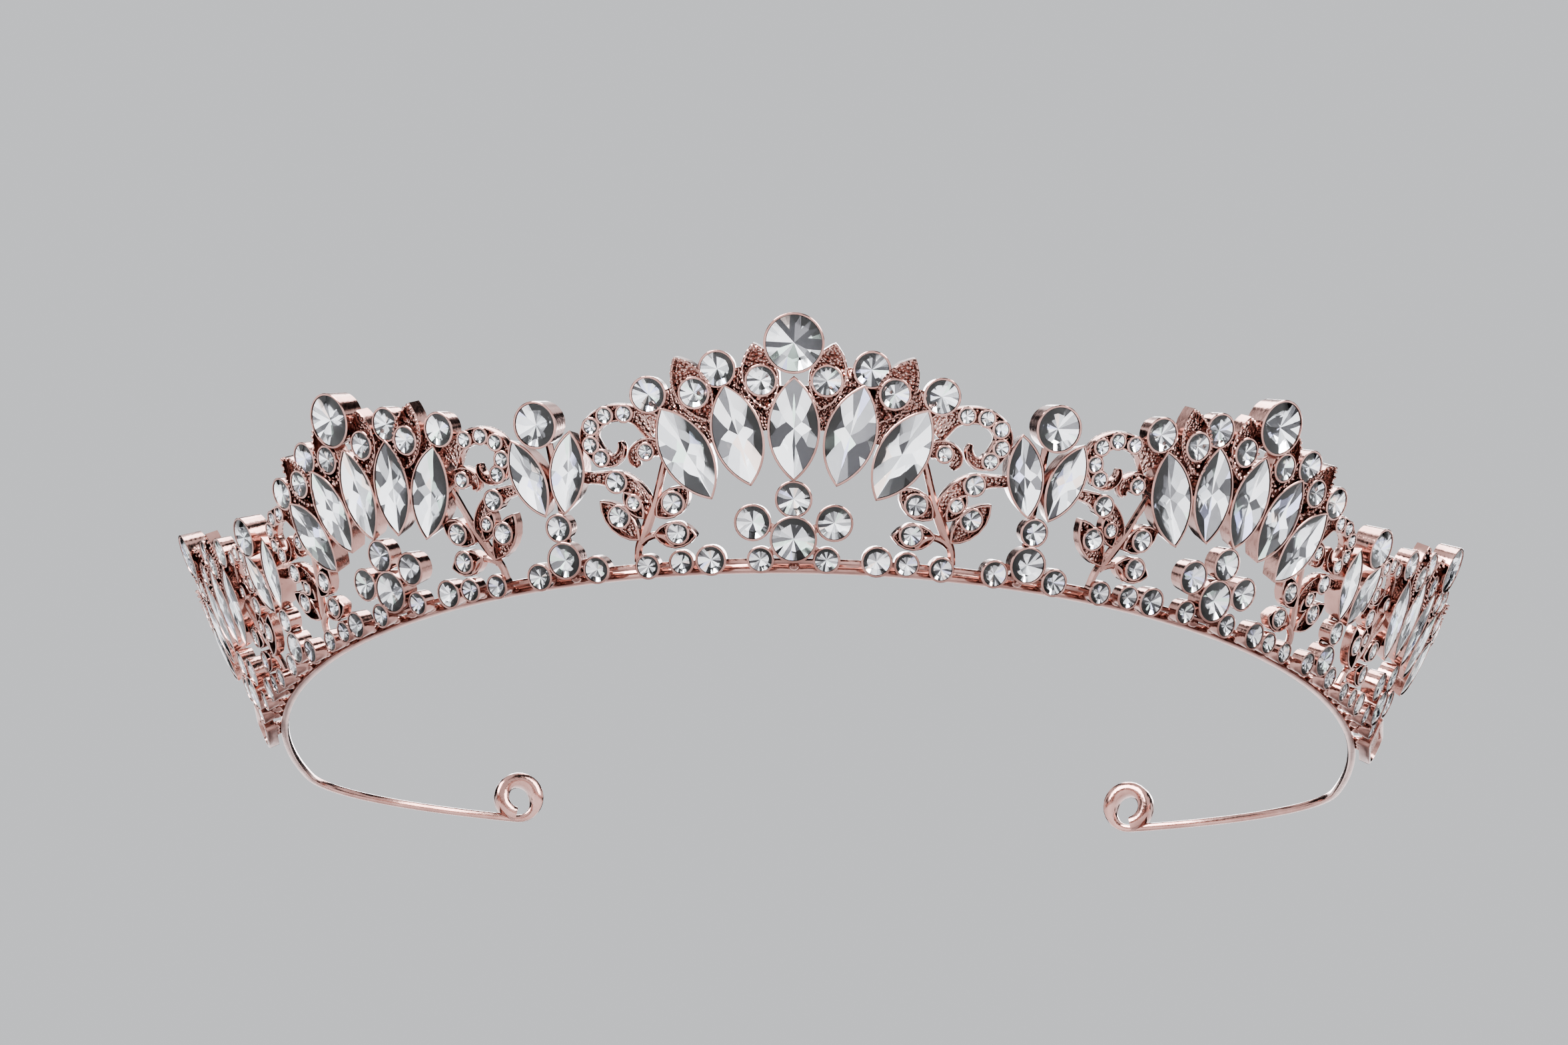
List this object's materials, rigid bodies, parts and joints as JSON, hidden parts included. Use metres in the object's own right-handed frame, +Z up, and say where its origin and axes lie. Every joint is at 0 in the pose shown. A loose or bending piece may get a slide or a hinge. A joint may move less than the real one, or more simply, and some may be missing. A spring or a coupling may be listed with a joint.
{
  "type": "bridal tiara",
  "caption": "Open bridal tiara: a leaning crown of crystal navette fans and leafy scrolls on a sprung metal head band with curled ribbon eyes.",
  "frame": {"origin": "centre of the tiara's bounding box in plan, on the surface it stands on", "axes": "+Z up, -Y towards the brow in front, +X to the right as seen from the front"},
  "size_m": [0.1656, 0.1346, 0.0242],
  "materials": {
    "casting": "bright rose-gold plate over a cast filigree, finely granulated between the stones",
    "band": "smooth polished rose-gold plate",
    "navette_crystal": "faceted clear crystal with a silvered back",
    "round_crystal": "brilliant-cut clear crystal with a silvered back"
  },
  "bodies": {
    "crown": {"band_front": "band", "crest_stone_centre": "round_crystal", "crest_stone_left": "round_crystal", "crest_stone_left_end": "round_crystal", "crest_stone_right": "round_crystal", "crest_stone_right_end": "round_crystal", "end_tab_left": "casting", "end_tab_right": "casting", "fan_centre": "casting", "fan_left": "casting", "fan_left_end": "casting", "fan_right": "casting", "fan_right_end": "casting", "navette_fan_centre_1": "navette_crystal", "navette_fan_centre_2": "navette_crystal", "navette_fan_centre_3": "navette_crystal", "navette_fan_centre_4": "navette_crystal", "navette_fan_centre_5": "navette_crystal", "navette_fan_left_1": "navette_crystal", "navette_fan_left_2": "navette_crystal", "navette_fan_left_3": "navette_crystal", "navette_fan_left_4": "navette_crystal", "navette_fan_left_5": "navette_crystal", "navette_fan_left_end_1": "navette_crystal", "navette_fan_left_end_2": "navette_crystal", "navette_fan_left_end_3": "navette_crystal", "navette_fan_left_end_4": "navette_crystal", "navette_fan_left_end_5": "navette_crystal", "navette_fan_right_1": "navette_crystal", "navette_fan_right_2": "navette_crystal", "navette_fan_right_3": "navette_crystal", "navette_fan_right_4": "navette_crystal", "navette_fan_right_5": "navette_crystal", "navette_fan_right_end_1": "navette_crystal", "navette_fan_right_end_2": "navette_crystal", "navette_fan_right_end_3": "navette_crystal", "navette_fan_right_end_4": "navette_crystal", "navette_fan_right_end_5": "navette_crystal", "navette_twin_left_inner_1": "navette_crystal", "navette_twin_left_inner_2": "navette_crystal", "navette_twin_left_outer_1": "navette_crystal", "navette_twin_left_outer_2": "navette_crystal", "navette_twin_right_inner_1": "navette_crystal", "navette_twin_right_inner_2": "navette_crystal", "navette_twin_right_outer_1": "navette_crystal", "navette_twin_right_outer_2": "navette_crystal", "scroll_left_1": "casting", "scroll_left_2": "casting", "scroll_left_3": "casting", "scroll_left_4": "casting", "scroll_right_1": "casting", "scroll_right_2": "casting", "scroll_right_3": "casting", "scroll_right_4": "casting", "twin_left_inner": "casting", "twin_left_outer": "casting", "twin_right_inner": "casting", "twin_right_outer": "casting"},
    "left_arm": {"band_arm_left": "band"},
    "right_arm": {"band_arm_right": "band"}
  },
  "joints": [
    {"name": "left_arm_flex", "type": "hinge", "parent": "crown", "child": "left_arm", "pos_m": [-0.07195, 0.02114, 0.00164], "axis": [0, 0, 1], "range_deg": [-5, 12], "stiffness_Nm_per_rad": 1},
    {"name": "right_arm_flex", "type": "hinge", "parent": "crown", "child": "right_arm", "pos_m": [0.07195, 0.02114, 0.00164], "axis": [0, 0, -1], "range_deg": [-5, 12], "stiffness_Nm_per_rad": 1}
  ]
}
